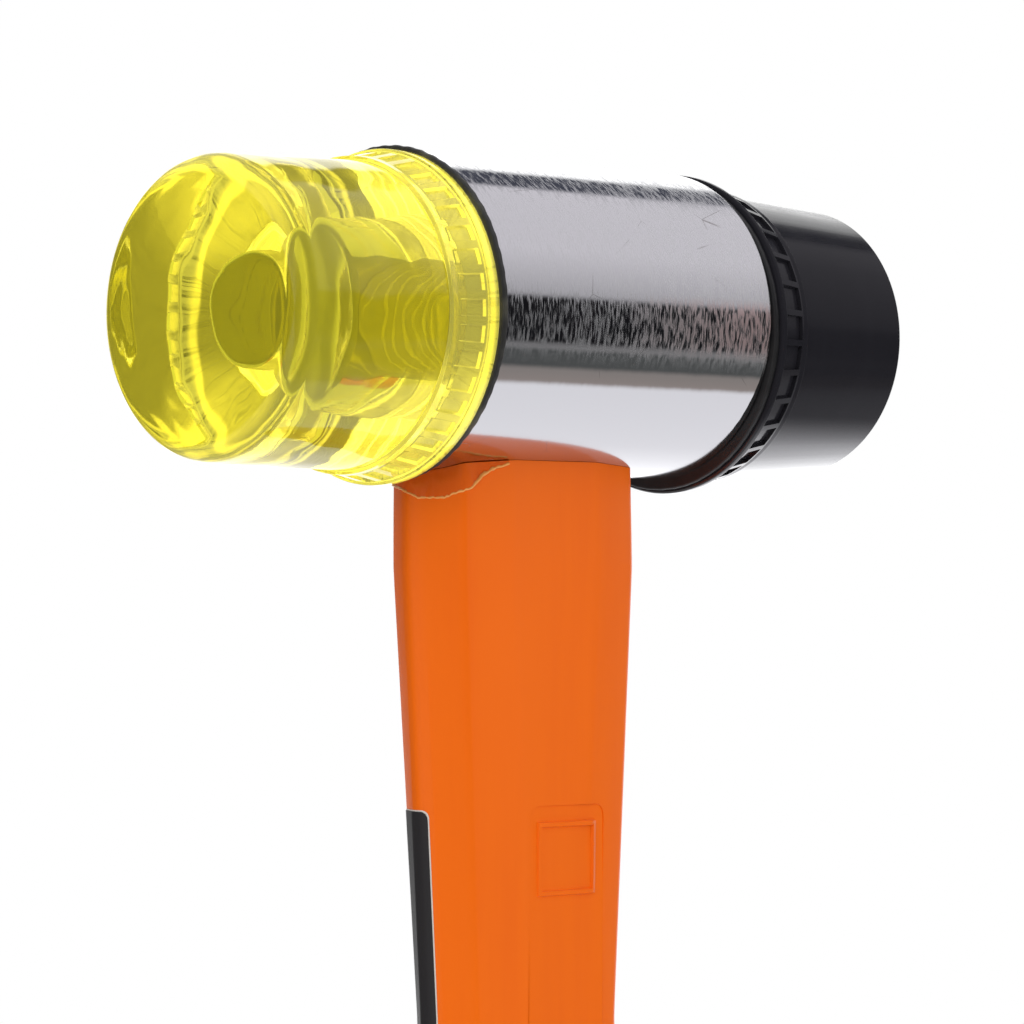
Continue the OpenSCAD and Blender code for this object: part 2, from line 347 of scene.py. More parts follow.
@dataclass(frozen=True)
class ChromePlate(Finish):
    """Bright plating with short matt strokes round the head, thicker at the black end, and scratches.

    The two matt shares are those of the yellow end and of the black one.
    """

    matt: Span = (0.17, 0.34)
    broad: Pattern = Pattern((2.6, 0.6, 0.6), detail=1)
    broad_share: float = 0.45
    narrow: Pattern = Pattern((5.2, 0.9, 0.9), (9, 4, 7), detail=1)
    narrow_share: float = 0.55
    drift: Pattern = Pattern((0.4, 0.3, 0.3), (3, 8, 1))
    drift_share: float = 0.12
    worn_x: Span = (-15.0, 22.0)
    worn_share: float = 0.05
    stroke_span: Span = (0.42, 0.62)
    stroke_h: Span = (-7.2, -3.5)
    stroke_rough: float = 0.22
    end_span: Span = (0.3, 0.6)
    wave: float = 0.012
    drift_wave: float = 0.0096
    stain: Colour = (0.62, 0.46, 0.45)
    stain_x: Span = (-6.0, 24.0)
    stain_low: Span = (-6.0, -3.0)
    stain_high: Span = (0.4, 2.2)
    cracks: Pattern = Pattern((0.10, 0.13, 0.13), (4, 9, 2))
    scratch_w: Span = (0.001, 0.006)
    patch: Pattern = Pattern((0.16, 0.16, 0.16), (30, 5, 0))
    patch_span: Span = (0.56, 0.66)
    scratch: Colour = (0.20, 0.18, 0.17)
    scratch_share: float = 0.6
    scratch_rough: float = 0.2
    foot_h: Span = (-16.0, -10.0)
    foot_rough: float = 0.10

    def sockets(self, sheet: Sheet) -> dict[str, Any]:
        """Plating that mirrors sharply between its strokes.

        Args:
            sheet: The material's node sheet.

        Returns:
            The sockets by name.
        """
        along, _, high = sheet.from_axis(HEAD_H)
        marks = sheet.noise(self.broad) * self.broad_share
        marks += sheet.noise(self.narrow) * self.narrow_share
        drift = sheet.noise(self.drift) - 0.5
        worn = along.ramp(*self.worn_x)
        facing = sheet.add("ShaderNodeNewGeometry", output="Normal")
        end_on = sheet.split(facing)[0]
        strokes = (marks + worn * self.worn_share + drift * self.drift_share).ramp(*self.stroke_span)
        strokes *= high.ramp(*self.stroke_h) * (end_on * end_on).fall(*self.end_span)
        matt = strokes * (self.matt[0] + worn * (self.matt[1] - self.matt[0]))
        aside = sheet.vector("CROSS_PRODUCT", facing, (1.0, 0.0, 0.0))
        lean = (marks - 0.5) * self.wave + drift * self.drift_wave
        leaning = sheet.vector("NORMALIZE", sheet.vector("MULTIPLY_ADD", aside, lean, facing))
        cracks = sheet.add(
            "ShaderNodeTexVoronoi", {"feature": "DISTANCE_TO_EDGE"},
            {"Vector": sheet.place(self.cracks.cells, self.cracks.shift), "Scale": 1.0}, "Distance")
        scratched = cracks.fall(*self.scratch_w) * sheet.noise(self.patch).ramp(*self.patch_span)
        stained = strokes * along.ramp(*self.stain_x)
        stained *= high.ramp(*self.stain_low) * high.fall(*self.stain_high)
        tint = sheet.mix(stained, self.colour, self.stain)
        rough = self.roughness + strokes * self.stroke_rough + scratched * self.scratch_rough
        return {"Base Color": sheet.mix(scratched * self.scratch_share, tint, self.scratch),
                "Roughness": rough + high.fall(*self.foot_h) * self.foot_rough,
                "Metallic": 1.0 - matt, "Normal": leaning}


@dataclass(frozen=True)
class ClearPlastic(Finish):
    """Clear coloured moulding with painted shade, darker in its cored hole, and a painted glow (emission) at
    its seat where light would gather.

    A glow of two numbers is its least and what a mask adds to it.
    """

    index: float = 1.49
    clearness: float = 0.80
    slow: Pattern = Pattern((0.12, 0.12, 0.12), detail=1)
    ripple: float = 0.8 * MM
    ripple_share: float = 0.6
    haze: Pattern = Pattern((0.9, 0.9, 0.9), detail=3)
    haze_span: Span = (0.55, 0.8)
    haze_rough: float = 0.03
    # Painted shade: a darker colour for the cored hole's walls and blind end
    core: Colour = (0.34, 0.31, 0.016)
    core_x: Span = (SEAT_X - 20.3, SEAT_X - 18.3)
    core_r: Span = (6.9, 7.4)
    skirt_x: Span = (SEAT_X - 6.3, SEAT_X - 6.2)
    rim_x: Span = (SEAT_X - 1.6, SEAT_X - 1.5)
    seat_x: Span = (SEAT_X - 0.2, SEAT_X - 0.1)
    spigot_x: Span = (SEAT_X + 0.1, SEAT_X + 0.2)
    skirt_r: Span = (17.0, 17.2)
    edge_r: Span = (15.9, 16.7)
    seat_r: Span = (11.2, 11.6)
    thread_r: Span = (9.0, 9.4)
    wing_h: Span = (2.5, 9.0)
    swirl: Pattern = Pattern((0.2, 0.16, 0.22), (2, 5, 8), detail=3)
    swirl_span: Span = (0.36, 0.62)
    swirl_glow: Span = (0.6, 0.55)
    glow: Colour = (0.98, 0.90, 0.42)
    seat_glow: Span = (0.13, 0.28)
    edge_glow: float = 0.44
    thread_glow: float = 0.74
    rim_glow: float = 0.06
    skirt_glow: float = 0.09

    def sockets(self, sheet: Sheet) -> dict[str, Any]:
        """Glossy clear surface with the slow ripple of a moulding.

        Args:
            sheet: The material's node sheet.

        Returns:
            The sockets by name.
        """
        along, across, high = sheet.from_axis(AXIS_H)
        off_axis = (across * across + high * high) ** 0.5
        places = self.skirt_x, self.rim_x, self.seat_x, self.spigot_x
        skirt, rim, seat, spigot = (along.ramp(*place) for place in places)
        seat *= (1.0 - spigot) * off_axis.ramp(*self.seat_r)
        # Painted glow: emission stands in for light gathered at the seat, the thread, the rim and the skirt
        swirl = self.swirl_glow[0] + sheet.noise(self.swirl).ramp(*self.swirl_span) * self.swirl_glow[1]
        wings = ((high * high) ** 0.5).ramp(*self.wing_h)
        lit = self.seat_glow[0] + wings * self.seat_glow[1] * swirl
        lit = seat * (lit + off_axis.ramp(*self.edge_r) * self.edge_glow)
        lit += spigot * off_axis.ramp(*self.thread_r) * self.thread_glow
        outside = off_axis.ramp(*self.skirt_r)
        lit += rim * (1.0 - spigot - seat) * outside * self.rim_glow
        lit += skirt * (1.0 - rim) * outside * self.skirt_glow
        # Painted shade: the base colour darkens inside the cored hole
        cored = along.ramp(*self.core_x) * off_axis.fall(*self.core_r)
        hazy = sheet.noise(self.haze).ramp(*self.haze_span)
        return {"Base Color": sheet.mix(cored, self.colour, self.core),
                "Roughness": self.roughness + hazy * self.haze_rough,
                "IOR": self.index, "Transmission Weight": self.clearness,
                # painted glow, given as emission
                "Emission Color": sheet.mix(lit, (0.0, 0.0, 0.0), self.glow), "Emission Strength": 1.0,
                "Normal": sheet.bump(sheet.noise(self.slow), self.ripple_share, self.ripple)}


@dataclass(frozen=True)
class MouldedPlastic(Finish):
    """Opaque moulding with flow streaks along the handle and a fine grain, polished below a height."""

    streak: Colour = (0.0, 0.0, 0.0)
    streak_share: float = 0.0
    grain: float = 0.004 * MM
    gloss: float = 0.5
    polish_h: Span | None = None
    polish_rough: float = 0.12
    flow: Pattern = Pattern((0.22, 0.22, 0.018), detail=4, rough=0.6)
    flow_span: Span = (0.35, 0.75)
    flow_share: float = 0.6
    flow_rough: float = 0.10
    flow_rise: float = 2.0
    cloud: Pattern = Pattern((0.03, 0.03, 0.03), (7, 3, 11))
    cloud_span: Span = (0.35, 0.7)
    cloud_share: float = 0.4
    fine: Pattern = Pattern((3.0, 3.0, 3.0))
    fine_rough: float = 0.08
    bump_share: float = 0.5

    def sockets(self, sheet: Sheet) -> dict[str, Any]:
        """Satin surface, streaked and grained.

        Args:
            sheet: The material's node sheet.

        Returns:
            The sockets by name.
        """
        flow, cloud, fine = (sheet.noise(pattern) for pattern in (self.flow, self.cloud, self.fine))
        share = flow.ramp(*self.flow_span) * self.flow_share + cloud.ramp(*self.cloud_span) * self.cloud_share
        rough = self.roughness + (flow - 0.5) * self.flow_rough + (fine - 0.5) * self.fine_rough
        made = {"Base Color": sheet.mix(share * self.streak_share, self.colour, self.streak),
                "Roughness": rough, "Specular IOR Level": self.gloss,
                "Normal": sheet.bump(fine + flow * self.flow_rise, self.bump_share, self.grain)}
        if self.polish_h:
            high = sheet.from_axis(AXIS_H)[2]
            made |= {"Coat Weight": high.fall(*self.polish_h), "Coat Roughness": self.polish_rough}
        return made


@dataclass(frozen=True)
class Rubber(Finish):
    """Matt rubber, dusty and grained."""

    dust: Colour = (0.10, 0.095, 0.08)
    dust_share: float = 0.35
    grain: float = 0.05 * MM
    fineness: float = 2.2
    grain_rough: float = 0.12
    bump_share: float = 0.7
    patch: Pattern = Pattern((0.25, 0.25, 0.25), detail=3)
    patch_span: Span = (0.45, 0.75)

    def sockets(self, sheet: Sheet) -> dict[str, Any]:
        """Matt surface with grain and patches of dust.

        Args:
            sheet: The material's node sheet.

        Returns:
            The sockets by name.
        """
        grain = sheet.noise(Pattern((self.fineness,) * 3, detail=3, rough=0.6))
        dusty = sheet.noise(self.patch).ramp(*self.patch_span) * self.dust_share
        return {"Base Color": sheet.mix(dusty, self.colour, self.dust),
                "Roughness": self.roughness + (grain - 0.5) * self.grain_rough,
                "Normal": sheet.bump(grain, self.bump_share, self.grain)}


@dataclass(frozen=True)
class WornRing(Rubber):
    """Rubber that is dark at its open edge and pale where it is clamped."""

    pale: Colour = (0.72, 0.71, 0.62)
    clamped_r: Span = (17.2, 18.3)

    def sockets(self, sheet: Sheet) -> dict[str, Any]:
        """Matt surface whose clamped face stays clean.

        Args:
            sheet: The material's node sheet.

        Returns:
            The sockets by name.
        """
        made = super().sockets(sheet)
        _, across, high = sheet.from_axis(AXIS_H)
        off_axis = (across * across + high * high) ** 0.5
        made["Base Color"] = sheet.mix(off_axis.ramp(*self.clamped_r), self.pale, made["Base Color"])
        return made


CHROME = ChromePlate("chrome_plate", (0.56, 0.56, 0.57), 0.03)
YELLOW = ClearPlastic("clear_yellow_moulding", (0.91, 0.84, 0.046), 0.03)
BLACK = MouldedPlastic(
    "black_moulding", (0.016, 0.0155, 0.019), 0.16, (0.019, 0.0185, 0.0225), 0.6,
    gloss=0.03, polish_h=(-14.0, -9.8))
ORANGE = MouldedPlastic("orange_moulding", (0.93, 0.155, 0.003), 0.36, (0.85, 0.122, 0.003), 0.5, gloss=0.25)
WORN_RING = WornRing("worn_ring", (0.020, 0.020, 0.018), 0.55, (0.10, 0.095, 0.06), 0.6, 0.06 * MM, 1.6)
BLACK_RING = Rubber("black_ring", (0.010, 0.010, 0.011), 0.45, (0.020, 0.020, 0.020), 0.5, 0.04 * MM, 1.6)
GRIP = Rubber("grip_skin", (0.012, 0.012, 0.013), 0.60, (0.030, 0.030, 0.030), 0.5)
FIBRE = MouldedPlastic("glass_fibre_rod", (0.62, 0.56, 0.38), 0.5, (0.45, 0.40, 0.24), 0.6)
EPOXY = MouldedPlastic("cured_epoxy", (0.50, 0.42, 0.20), 0.3, (0.40, 0.32, 0.14), 0.4)
VINYL = MouldedPlastic("black_vinyl", (0.024, 0.022, 0.023), 0.34, (0.034, 0.032, 0.033), 0.6, gloss=0.2)
PAPER = MouldedPlastic("paper_edge", (0.72, 0.68, 0.62), 0.5, (0.60, 0.56, 0.50), 0.5)
# Moulding flash, darker than the jacket: partly its own colour, partly painted shade under the yellow face
SHADED_FLASH = MouldedPlastic("moulding_flash", (0.74, 0.100, 0.004), 0.16, (0.84, 0.14, 0.01), 0.8, 0.03 * MM, 0.3)
TORN_LIP = MouldedPlastic("torn_lip", (0.90, 0.34, 0.06), 0.25, (0.94, 0.46, 0.14), 0.8, 0.01 * MM)
FLOOR_WHITE = Finish("floor_white", (0.9, 0.9, 0.9), 0.7)


# Outlines

# Most of a span that a rounding takes, and the half angle and share of a corner that is nearly straight
ARC_SHARE = 0.48
FLAT_HALF = 1.5
FLAT_SHARE = 0.3


def rounded(corners: Sequence[Triple], closed: bool, steps: int = 5) -> np.ndarray:
    """Round the corners of an outline with circular arcs.

    Args:
        corners: Points as (first, second, radius of the rounding).
        closed: Whether the last point joins the first.
        steps: Spans of each arc.

    Returns:
        The rounded outline's points, equally many for equal inputs.
    """
    points = np.array([c[:2] for c in corners], float)
    count = len(points)
    made: list[np.ndarray] = []
    for i, (point, radius) in enumerate(zip(points, (c[2] for c in corners))):
        if radius <= 0 or (not closed and i in (0, count - 1)):
            made.append(point)
            continue
        back, ahead = points[i - 1] - point, points[(i + 1) % count] - point
        lengths = np.linalg.norm(back), np.linalg.norm(ahead)
        back, ahead = back / lengths[0], ahead / lengths[1]
        half = math.acos(float(np.clip(back @ ahead, -1, 1))) / 2
        reach = FLAT_SHARE * min(lengths)
        if half < FLAT_HALF:
            reach = min(radius / math.tan(half), ARC_SHARE * min(lengths))
        start, end, weight = point + back * reach, point + ahead * reach, math.sin(half)
        for u in np.linspace(0, 1, steps + 1):
            parts = (1 - u) ** 2, 2 * u * (1 - u) * weight, u * u
            made.append((parts[0] * start + parts[1] * point + parts[2] * end) / sum(parts))
    return np.array(made)


def with_stops(outline: np.ndarray, axial: Sequence[float], outside: float) -> np.ndarray:
    """Add rows to a turned outline where a surface needs them.

    Args:
        outline: Points as (radius, axial).
        axial: Axial places that need a row.
        outside: Only spans at or beyond this radius are split.

    Returns:
        The outline with the added points.
    """
    least = 0.001
    made = [outline[0]]
    for a, b in zip(outline[:-1], outline[1:]):
        if min(a[0], b[0]) >= outside and abs(b[1] - a[1]) > SAME:
            inner = [(s - a[1]) / (b[1] - a[1]) for s in axial]
            made += [a + (b - a) * u for u in sorted(u for u in inner if least < u < 1 - least)]
        made.append(b)
    return np.array(made)


def around(sides: int) -> np.ndarray:
    """Evenly spaced angles of a full turn."""
    return np.linspace(0, TURN, sides, endpoint=False)


def level(loop: np.ndarray, height: float) -> np.ndarray:
    """Points of a flat outline at one height."""
    return np.column_stack([loop, np.full(len(loop), height)])


def spread(loop: np.ndarray, steps: int) -> np.ndarray:
    """Closed outline with each of its spans cut into equal steps."""
    ends = np.vstack([loop, loop[:1]])
    return np.vstack([np.linspace(a, b, steps + 1)[:-1] for a, b in zip(ends[:-1], ends[1:])])


def ease(share: float) -> float:
    """Share that is kept between 0 and 1 and eased at both."""
    share = min(1.0, max(0.0, share))
    return share * share * (3 - 2 * share)


# Mesh building


@dataclass
class Shape:
    """Points and faces of a piece while it is put together."""

    points: list[Sequence[float]]
    faces: list[Sequence[int]]

    @classmethod
    def from_rings(cls, rings: Grid, capped: bool = True) -> Shape:
        """Skin a stack of closed rings.

        Args:
            rings: Point arrays; a ring of one point is a pole.
            capped: Whether the first and the last ring are closed.

        Returns:
            The skinned shape.
        """
        shape = cls([], [])
        numbers = []
        for ring in rings:
            numbers.append(range(len(shape.points), len(shape.points) + len(ring)))
            shape.points += [tuple(p) for p in ring]
        for low, high in zip(numbers[:-1], numbers[1:]):
            sides = max(len(low), len(high))
            for i in range(sides):
                j = (i + 1) % sides
                if len(low) == 1:
                    shape.faces.append((low[0], high[j], high[i]))
                elif len(high) == 1:
                    shape.faces.append((low[i], low[j], high[0]))
                else:
                    shape.faces.append((low[i], low[j], high[j], high[i]))
        if capped and len(numbers[0]) > 1:
            shape.faces.append(tuple(numbers[0]))
        if capped and len(numbers[-1]) > 1:
            shape.faces.append(tuple(reversed(numbers[-1])))
        return shape

    @classmethod
    def from_patch(cls, outer: Grid, inner: Grid) -> Shape:
        """Thin solid between two open grids of equal layout."""
        return cls.from_rings([np.vstack([o, i[::-1]]) for o, i in zip(outer, inner)])

    @classmethod
    def upright(cls, loop: np.ndarray, low: float, high: float) -> Shape:
        """Closed bar from a flat outline between two heights."""
        return cls.from_rings([level(loop, h) for h in (low, high)])

    @classmethod
    def round_bar(cls, width: float, thick: float, low: float, high: float) -> Shape:
        """Upright flat bar with round ends, on the handle's axis.

        Args:
            width: Its size along the head.
            thick: Its size across the head.
            low: Height of its lower end.
            high: Height of its upper end.

        Returns:
            The closed bar.
        """
        arc = np.linspace(-QUARTER, QUARTER, END_POINTS)
        right = np.column_stack([(width - thick) / 2 + thick / 2 * np.cos(arc), thick / 2 * np.sin(arc)])
        return cls.upright(np.vstack([right, -right]), low, high)

    def mesh(self, name: str) -> bpy.types.Mesh:
        """Mesh of the shape, with its faces turned outward.

        Args:
            name: The mesh's name.

        Returns:
            The new mesh.
        """
        mesh = bpy.data.meshes.new(name)
        mesh.from_pydata(self.points, [], self.faces)
        work = bmesh.new()
        work.from_mesh(mesh)
        bmesh.ops.remove_doubles(work, verts=work.verts, dist=WELD)
        bmesh.ops.recalc_face_normals(work, faces=work.faces)
        work.to_mesh(mesh)
        work.free()
        return mesh

    def piece(
        self, name: str, finish: Finish, body: Body, slot: str, edge: Edge = Edge.CRISP,
    ) -> bpy.types.Object:
        """Make the shape a piece of the hammer.

        Args:
            name: The piece's name.
            finish: Its finish.
            body: The body that it rides on.
            slot: The record's material slot; not used.
            edge: Which edges stay sharp under light.

        Returns:
            The new object.
        """
        made = linked(name, self.mesh(name))
        made.data.materials.append(finish.material())
        smooth(made.data, edge)
        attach(made, body.value)
        LOG.info("%s: %d faces on %s", name, len(made.data.polygons), body.value)
        return made


def linked(name: str, data: bpy.types.ID) -> bpy.types.Object:
    """New object of the scene.

    Args:
        name: The object's name.
        data: Its mesh, light or camera.

    Returns:
        The object.
    """
    made = bpy.data.objects.new(name, data)
    bpy.context.scene.collection.objects.link(made)
    return made


def smooth(mesh: bpy.types.Mesh, edge: Edge) -> None:
    """Shade a mesh smooth apart from its sharp edges."""
    mesh.shade_smooth()
    mesh.set_sharp_from_angle(angle=math.radians(edge.value))


def carve(piece: bpy.types.Object, tool: Shape, edge: Edge) -> None:
    """Cut a shape out of a piece.

    Args:
        piece: The piece to cut.
        tool: The closed shape that is taken away.
        edge: Which edges stay sharp afterwards.
    """
    cutter = linked("cutter", tool.mesh("cutter"))
    modifier = piece.modifiers.new("cut", "BOOLEAN")
    modifier.operation, modifier.solver, modifier.object = "DIFFERENCE", "EXACT", cutter
    bpy.context.view_layer.update()
    cut = bpy.data.meshes.new_from_object(piece.evaluated_get(bpy.context.evaluated_depsgraph_get()))
    piece.modifiers.remove(modifier)
    spent, piece.data = (piece.data, cutter.data), cut
    cut.name = piece.name
    bpy.data.objects.remove(cutter)
    for mesh in spent:
        bpy.data.meshes.remove(mesh)
    smooth(cut, edge)


# Sub-assemblies


@dataclass
class Thread:
    """Screw thread shared by the spigots and the sockets."""

    pitch: float = 2.0 * MM
    depth: float = 0.85 * MM
    row: float = 0.16 * MM

    def rows(self, low: float, high: float) -> np.ndarray:
        """Axial places of the thread's rows between two ends."""
        return np.arange(low, high, self.row)

    def height(self, axial: float, angles: np.ndarray, low: float, high: float) -> np.ndarray:
        """Share of the thread's depth at one row.

        Args:
            axial: The row's place along the outward axis.
            angles: Angles round that axis.
            low: Where the thread fades in.
            high: Where it has faded out.

        Returns:
            0 at the root and 1 at the crest, for each angle.
        """
        wave = 0.5 + 0.5 * np.cos(TURN * axial / self.pitch - angles)
        fade = np.clip((axial - low) / self.pitch, 0, 1) * np.clip((high - axial) / self.pitch, 0, 1)
        return 1 - (1 - wave) * min(1.0, 2 * float(fade))


THREAD = Thread()


def turned(
    end: End, origin_x: float, rows: Sequence[tuple[float, np.ndarray]], angles: np.ndarray,
    wide_r: float = math.inf,
) -> Grid:
    """Rings of a turned piece on the sockets' axis.

    Args:
        end: The head's end that the axial places run out of.
        origin_x: Frame X of axial place 0.
        rows: Axial place and radii of each row; a row of radius 0 is a pole.
        angles: Angles round the outward axis, right-handed.
        wide_r: Rows beyond this radius lie on the head's own axis instead.

    Returns:
        The rings in the frame's axes.
    """
    rings = []
    for axial, radii in rows:
        x = origin_x + end.value * axial
        if np.max(radii) < SAME:
            rings.append(np.array([[x, 0, AXIS_H]]))
            continue
        y = radii * np.cos(angles)
        z = (HEAD_H if np.min(radii) > wide_r else AXIS_H) + end.value * radii * np.sin(angles)
        rings.append(np.stack([np.full_like(y, x), y, z], axis=1))
    return rings


@dataclass
class StrikingFace:
    """A screwed striking face: spigot, cored hole, ribbed skirt and body."""

    end: End
    node: str
    ring_node: str
    body: Body
    finish: Finish
    slot: str
    front_wall: float
    front_r: float
    root_r: float
    edge_r: float
    rim_t: float
    band_l: float
    band_r: float
    pockets: int
    pocket_w: float
    rim_wear: float = 0.0
    spigot_r: float = 11.3 * MM
    spigot_lead: float = 0.8 * MM
    thread_relief: float = 1.2 * MM
    core_mouth_r: float = 6.8 * MM
    core_end_r: float = 6.2 * MM
    core_fillet: float = 0.8 * MM
    rim_round: float = 0.3 * MM
    bead_w: float = 0.8 * MM
    bead_h: float = 0.5 * MM
    pocket_depth: float = 0.45 * MM
    pocket_margin: float = 0.35 * MM
    soft: float = 0.07 * MM

    def __post_init__(self) -> None:
        """Take the reach, the spigot's length and the rim from the frame."""
        low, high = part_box(self.node)
        ring_low, ring_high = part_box(self.ring_node)
        near, far = (high.x, low.x) if self.end is End.YELLOW else (low.x, high.x)
        self.seat_x = ring_low.x if self.end is End.YELLOW else ring_high.x
        self.reach = abs(far - self.seat_x)
        self.spigot_l = abs(near - self.seat_x)
        self.rim_r = (high.y - low.y) / 2 - self.rim_wear

    def outline(self) -> np.ndarray:
        """Turned outline from the cored hole's blind end to the striking face.

        Returns:
            Points as (radius, axial).
        """
        core_top, bead = self.reach - self.front_wall, self.rim_t + self.band_l
        bead_r, soft = self.root_r + self.bead_h, self.soft
        corners = [
            (0, core_top, 0),
            (self.core_end_r, core_top, self.core_fillet),
            (self.core_mouth_r, -self.spigot_l, 2 * soft),
            (self.spigot_r - self.spigot_lead, -self.spigot_l, soft),
            (self.spigot_r, -self.spigot_l + self.spigot_lead, soft),
            (self.spigot_r, 0, soft),
            (self.rim_r, 0, self.rim_round),
            (self.rim_r, self.rim_t, 2 * soft),
            (self.band_r, self.rim_t, soft),
            (bead_r, bead, soft),
            (bead_r, bead + self.bead_w, 2 * soft),
            (self.root_r, bead + self.bead_w, 2 * soft),
            (self.front_r, self.reach, self.edge_r),
            (0, self.reach, 0),
        ]
        return rounded(corners, closed=False)

    def angles(self) -> tuple[np.ndarray, np.ndarray]:
        """Angles round the axis, closer at the pockets' walls, and how far each one is sunk.

        Returns:
            The angles, and shares from 0 on the lands to 1 in the pockets.
        """
        half, soft = self.pocket_w / 2 / self.band_r, self.soft / self.band_r
        pitch = TURN / self.pockets
        one = [-half - soft, -half, -half / 3, half / 3, half, half + soft]
        lands = np.linspace(half + soft, pitch - half - soft, 4)[1:-1]
        angles = np.concatenate([np.array([*one, *lands]) + i * pitch for i in range(self.pockets)])
        offset = np.abs((angles + pitch / 2) % pitch - pitch / 2)
        return angles, np.clip((half + soft - offset) / soft, 0, 1)

    def build(self) -> bpy.types.Object:
        """Model the face and hang it on its body.

        Returns:
            The face's object.
        """
        angles, sunk = self.angles()
        low, high = self.rim_t + self.pocket_margin, self.rim_t + self.band_l - self.pocket_margin
        thread_low, thread_high = -self.spigot_l + self.spigot_lead, -self.thread_relief
        stops = [low, low + self.soft, high - self.soft, high, *np.linspace(low, high, 5)[1:-1]]
        stops += list(THREAD.rows(thread_low, thread_high))
        rows = []
        for radius, axial in with_stops(self.outline(), stops, self.spigot_r - SAME):
            radii = np.full_like(angles, radius)
            if low <= axial <= high and radius > self.root_r:
                wall = min(axial - low, high - axial) / self.soft
                radii -= self.pocket_depth * sunk * min(1.0, max(0.0, wall))
            if thread_low < axial < thread_high and abs(radius - self.spigot_r) < SAME:
                radii -= THREAD.depth * (1 - THREAD.height(axial, angles, thread_low, thread_high))
            rows.append((axial, radii))
        shape = Shape.from_rings(turned(self.end, self.seat_x, rows, angles))
        made = shape.piece(f"{self.node}_moulding", self.finish, self.body, self.slot)
        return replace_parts(made, self.node)


@dataclass
class SeatRing:
    """A dark seat ring with a worn, uneven rim."""

    end: End
    node: str
    body: Body
    seed: int
    finish: Finish
    bore_r: float = 11.5 * MM
    wear: float = 0.10 * MM
    waves: tuple[int, ...] = (3, 7, 16, 37, 61)
    wave_share: Span = (0.2, 1.0)
    foot_wear: float = 0.0
    foot_power: float = 1.5
    round_r: float = 0.25 * MM
    sides: int = 240

    def worn(self, angles: np.ndarray) -> np.ndarray:
        """How much of the rim is gone at each angle.

        Args:
            angles: Angles round the outward axis.

        Returns:
            Metres to add to the rim's radius, none of them positive.
        """
        draw = np.random.default_rng(self.seed)
        uneven = np.zeros(self.sides)
        for waves in self.waves:
            uneven += draw.uniform(*self.wave_share) * np.sin(waves * angles + draw.uniform(0, TURN))
        low_side = np.clip(-self.end.value * np.sin(angles), 0, 1)
        rim = self.wear * (uneven / np.abs(uneven).max() - 1) / 2
        return rim - self.foot_wear * low_side**self.foot_power

    def build(self) -> bpy.types.Object:
        """Model the ring and hang it on its body.

        Returns:
            The ring's object.
        """
        low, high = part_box(self.node)
        bore, outer, thick = self.bore_r, (high.y - low.y) / 2, high.x - low.x
        inner_x = high.x if self.end is End.YELLOW else low.x
        angles = around(self.sides)
        worn = self.worn(angles)
        corners = [(bore, 0, 0), (outer, 0, self.round_r), (outer, thick, self.round_r), (bore, thick, 0)]
        rows = []
        for radius, axial in rounded(corners, closed=False):
            share = (radius - bore) / (outer - bore)
            rows.append((axial, radius + worn * share))
        rings = turned(self.end, inner_x, [*rows, rows[0]], angles)
        shape = Shape.from_rings(rings, capped=False)
        made = shape.piece(f"{self.node}_rubber", self.finish, self.body, "dark_ring")
        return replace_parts(made, self.node)


@dataclass
class Head:
    """The chromed head with its two threaded sockets and the handle's socket."""

    socket_r: float = 11.5 * MM
    socket_depth: float = 11.0 * MM
    socket_fillet: float = 0.4 * MM
    thread_relief: float = 1.5 * MM
    mouth: float = 0.5 * MM
    mouth_r: float = 0.1 * MM
    edge_r: float = 0.5 * MM
    slot_w: float = 15.8 * MM
    slot_t: float = 7.8 * MM
    slot_rise: float = 9.0 * MM
    sides: int = 288

    def build(self) -> bpy.types.Object:
        """Model the head, cut the handle's socket and dress it.

        Returns:
            The head's object.
        """
        low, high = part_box("head_body")
        radius, length = (high.y - low.y) / 2, high.x - low.x
        angles = around(self.sides)
        half = [
            (0, self.socket_depth, 0),
            (self.socket_r, self.socket_depth, self.socket_fillet),
            (self.socket_r, self.mouth, 0),
            (self.socket_r + self.mouth, 0, self.mouth_r),
            (radius, 0, self.edge_r),
        ]
        far = [(r, length - a, c) for r, a, c in reversed(half)]
        thread_depth = self.socket_depth - self.thread_relief
        ends = THREAD.rows(self.mouth, thread_depth)
        stops = [*ends, *(length - ends)]
        rows = []
        for r, a in with_stops(rounded([*half, *far], closed=False), stops, self.socket_r - SAME):
            radii = np.full_like(angles, r)
            depth = min(a, length - a)
            if abs(r - self.socket_r) < SAME and depth < thread_depth:
                sign = 1 if a < length / 2 else -1
                crest = THREAD.height(-depth, -sign * angles, -thread_depth, -self.mouth)
                radii = radii + THREAD.depth * (1 - crest)
            rows.append((a, radii))
        wide_r = self.socket_r + self.mouth + THREAD.depth
        shape = Shape.from_rings(turned(End.BLACK, low.x, rows, angles, wide_r))
        made = shape.piece("head_chromed", CHROME, Body.HAMMER, "chromed_steel")
        slot = Shape.round_bar(self.slot_w, self.slot_t, low.z - CUT_OVER, HEAD_H + self.slot_rise)
        carve(made, slot, Edge.CRISP)
        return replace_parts(made, "head_body")


